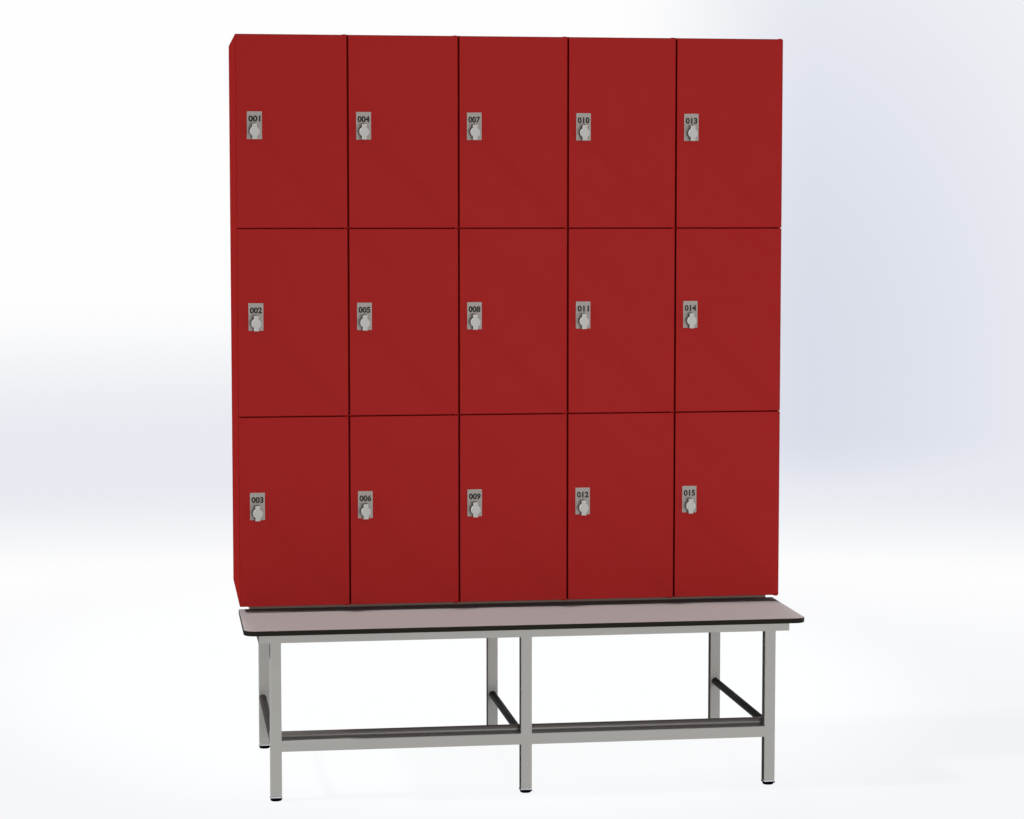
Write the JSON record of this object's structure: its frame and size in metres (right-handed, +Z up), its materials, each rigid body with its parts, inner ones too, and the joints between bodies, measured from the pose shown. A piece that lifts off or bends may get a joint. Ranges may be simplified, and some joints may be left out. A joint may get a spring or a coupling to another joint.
{
  "type": "locker with bench",
  "caption": "Laminate locker with stacked hinged doors and turn-knob locks in columns, standing on a bench seat with a tubular steel frame.",
  "frame": {"origin": "on the floor at the centre of the whole object's footprint", "axes": "+Z up, doors and seat face -Y, +X to the right of someone facing the doors"},
  "size_m": [1.503, 0.831, 2.0271],
  "materials": {
    "door_laminate": "satin red compact laminate",
    "carcass_laminate": "satin red compact laminate",
    "seat_laminate": "satin grey compact laminate with a black core edge",
    "frame_steel": "smooth grey powder coat on square tube",
    "stretcher_steel": "smooth dark grey coat on round tube",
    "plinth_steel": "matt grey-brown coat, in the locker's shade",
    "hinge_steel": "red coat",
    "lock_metal": "satin nickel",
    "foot_plastic": "matt black moulded plastic"
  },
  "bodies": {
    "locker_and_bench": {"side_left": "carcass_laminate", "side_right": "carcass_laminate", "divider_1": "carcass_laminate", "divider_2": "carcass_laminate", "divider_3": "carcass_laminate", "divider_4": "carcass_laminate", "shelf_lower": "carcass_laminate", "shelf_upper": "carcass_laminate", "top_panel": "carcass_laminate", "bottom_panel": "carcass_laminate", "back_panel": "carcass_laminate", "hinge_strip_1": "hinge_steel", "hinge_strip_2": "hinge_steel", "hinge_strip_3": "hinge_steel", "hinge_strip_4": "hinge_steel", "hinge_strip_5": "hinge_steel", "plinth": "plinth_steel", "seat_plank": "seat_laminate", "frame_front": "frame_steel", "frame_rear": "frame_steel", "cross_tube_left": "frame_steel", "cross_tube_middle": "frame_steel", "cross_tube_right": "frame_steel", "stretcher": "stretcher_steel", "foot_front_left": "foot_plastic", "foot_front_middle": "foot_plastic", "foot_front_right": "foot_plastic", "foot_rear_left": "foot_plastic", "foot_rear_middle": "foot_plastic", "foot_rear_right": "foot_plastic"},
    "door_01": {"door_01": "door_laminate"},
    "lock_01": {"lock_knob_01": "lock_metal"},
    "door_02": {"door_02": "door_laminate"},
    "lock_02": {"lock_knob_02": "lock_metal"},
    "door_03": {"door_03": "door_laminate"},
    "lock_03": {"lock_knob_03": "lock_metal"},
    "door_04": {"door_04": "door_laminate"},
    "lock_04": {"lock_knob_04": "lock_metal"},
    "door_05": {"door_05": "door_laminate"},
    "lock_05": {"lock_knob_05": "lock_metal"},
    "door_06": {"door_06": "door_laminate"},
    "lock_06": {"lock_knob_06": "lock_metal"},
    "door_07": {"door_07": "door_laminate"},
    "lock_07": {"lock_knob_07": "lock_metal"},
    "door_08": {"door_08": "door_laminate"},
    "lock_08": {"lock_knob_08": "lock_metal"},
    "door_09": {"door_09": "door_laminate"},
    "lock_09": {"lock_knob_09": "lock_metal"},
    "door_10": {"door_10": "door_laminate"},
    "lock_10": {"lock_knob_10": "lock_metal"},
    "door_11": {"door_11": "door_laminate"},
    "lock_11": {"lock_knob_11": "lock_metal"},
    "door_12": {"door_12": "door_laminate"},
    "lock_12": {"lock_knob_12": "lock_metal"},
    "door_13": {"door_13": "door_laminate"},
    "lock_13": {"lock_knob_13": "lock_metal"},
    "door_14": {"door_14": "door_laminate"},
    "lock_14": {"lock_knob_14": "lock_metal"},
    "door_15": {"door_15": "door_laminate"},
    "lock_15": {"lock_knob_15": "lock_metal"}
  },
  "joints": [
    {"name": "door_01_hinge", "type": "hinge", "parent": "locker_and_bench", "child": "door_01", "pos_m": [-0.45945, -0.108, 1.76705], "axis": [0, 0, 1], "range_deg": [0, 95]},
    {"name": "lock_01_turn", "type": "hinge", "parent": "door_01", "child": "lock_01", "pos_m": [-0.7008, -0.1145, 1.76635], "axis": [0, 1, 0], "range_deg": [0, 90]},
    {"name": "door_02_hinge", "type": "hinge", "parent": "locker_and_bench", "child": "door_02", "pos_m": [-0.45945, -0.108, 1.2538], "axis": [0, 0, 1], "range_deg": [0, 95]},
    {"name": "lock_02_turn", "type": "hinge", "parent": "door_02", "child": "lock_02", "pos_m": [-0.7008, -0.1145, 1.2531], "axis": [0, 1, 0], "range_deg": [0, 90]},
    {"name": "door_03_hinge", "type": "hinge", "parent": "locker_and_bench", "child": "door_03", "pos_m": [-0.45945, -0.108, 0.7405], "axis": [0, 0, 1], "range_deg": [0, 95]},
    {"name": "lock_03_turn", "type": "hinge", "parent": "door_03", "child": "lock_03", "pos_m": [-0.7008, -0.1145, 0.7398], "axis": [0, 1, 0], "range_deg": [0, 90]},
    {"name": "door_04_hinge", "type": "hinge", "parent": "locker_and_bench", "child": "door_04", "pos_m": [-0.15895, -0.108, 1.76705], "axis": [0, 0, 1], "range_deg": [0, 95]},
    {"name": "lock_04_turn", "type": "hinge", "parent": "door_04", "child": "lock_04", "pos_m": [-0.40805, -0.1145, 1.76635], "axis": [0, 1, 0], "range_deg": [0, 90]},
    {"name": "door_05_hinge", "type": "hinge", "parent": "locker_and_bench", "child": "door_05", "pos_m": [-0.15895, -0.108, 1.2538], "axis": [0, 0, 1], "range_deg": [0, 95]},
    {"name": "lock_05_turn", "type": "hinge", "parent": "door_05", "child": "lock_05", "pos_m": [-0.40805, -0.1145, 1.2531], "axis": [0, 1, 0], "range_deg": [0, 90]},
    {"name": "door_06_hinge", "type": "hinge", "parent": "locker_and_bench", "child": "door_06", "pos_m": [-0.15895, -0.108, 0.7405], "axis": [0, 0, 1], "range_deg": [0, 95]},
    {"name": "lock_06_turn", "type": "hinge", "parent": "door_06", "child": "lock_06", "pos_m": [-0.40805, -0.1145, 0.7398], "axis": [0, 1, 0], "range_deg": [0, 90]},
    {"name": "door_07_hinge", "type": "hinge", "parent": "locker_and_bench", "child": "door_07", "pos_m": [0.14155, -0.108, 1.76705], "axis": [0, 0, 1], "range_deg": [0, 95]},
    {"name": "lock_07_turn", "type": "hinge", "parent": "door_07", "child": "lock_07", "pos_m": [-0.10755, -0.1145, 1.76635], "axis": [0, 1, 0], "range_deg": [0, 90]},
    {"name": "door_08_hinge", "type": "hinge", "parent": "locker_and_bench", "child": "door_08", "pos_m": [0.14155, -0.108, 1.2538], "axis": [0, 0, 1], "range_deg": [0, 95]},
    {"name": "lock_08_turn", "type": "hinge", "parent": "door_08", "child": "lock_08", "pos_m": [-0.10755, -0.1145, 1.2531], "axis": [0, 1, 0], "range_deg": [0, 90]},
    {"name": "door_09_hinge", "type": "hinge", "parent": "locker_and_bench", "child": "door_09", "pos_m": [0.14155, -0.108, 0.7405], "axis": [0, 0, 1], "range_deg": [0, 95]},
    {"name": "lock_09_turn", "type": "hinge", "parent": "door_09", "child": "lock_09", "pos_m": [-0.10755, -0.1145, 0.7398], "axis": [0, 1, 0], "range_deg": [0, 90]},
    {"name": "door_10_hinge", "type": "hinge", "parent": "locker_and_bench", "child": "door_10", "pos_m": [0.44205, -0.108, 1.76705], "axis": [0, 0, 1], "range_deg": [0, 95]},
    {"name": "lock_10_turn", "type": "hinge", "parent": "door_10", "child": "lock_10", "pos_m": [0.19295, -0.1145, 1.76635], "axis": [0, 1, 0], "range_deg": [0, 90]},
    {"name": "door_11_hinge", "type": "hinge", "parent": "locker_and_bench", "child": "door_11", "pos_m": [0.44205, -0.108, 1.2538], "axis": [0, 0, 1], "range_deg": [0, 95]},
    {"name": "lock_11_turn", "type": "hinge", "parent": "door_11", "child": "lock_11", "pos_m": [0.19295, -0.1145, 1.2531], "axis": [0, 1, 0], "range_deg": [0, 90]},
    {"name": "door_12_hinge", "type": "hinge", "parent": "locker_and_bench", "child": "door_12", "pos_m": [0.44205, -0.108, 0.7405], "axis": [0, 0, 1], "range_deg": [0, 95]},
    {"name": "lock_12_turn", "type": "hinge", "parent": "door_12", "child": "lock_12", "pos_m": [0.19295, -0.1145, 0.7398], "axis": [0, 1, 0], "range_deg": [0, 90]},
    {"name": "door_13_hinge", "type": "hinge", "parent": "locker_and_bench", "child": "door_13", "pos_m": [0.7435, -0.108, 1.76705], "axis": [0, 0, 1], "range_deg": [0, 95]},
    {"name": "lock_13_turn", "type": "hinge", "parent": "door_13", "child": "lock_13", "pos_m": [0.49345, -0.1145, 1.76635], "axis": [0, 1, 0], "range_deg": [0, 90]},
    {"name": "door_14_hinge", "type": "hinge", "parent": "locker_and_bench", "child": "door_14", "pos_m": [0.7435, -0.108, 1.2538], "axis": [0, 0, 1], "range_deg": [0, 95]},
    {"name": "lock_14_turn", "type": "hinge", "parent": "door_14", "child": "lock_14", "pos_m": [0.49345, -0.1145, 1.2531], "axis": [0, 1, 0], "range_deg": [0, 90]},
    {"name": "door_15_hinge", "type": "hinge", "parent": "locker_and_bench", "child": "door_15", "pos_m": [0.7435, -0.108, 0.7405], "axis": [0, 0, 1], "range_deg": [0, 95]},
    {"name": "lock_15_turn", "type": "hinge", "parent": "door_15", "child": "lock_15", "pos_m": [0.49345, -0.1145, 0.7398], "axis": [0, 1, 0], "range_deg": [0, 90]}
  ]
}
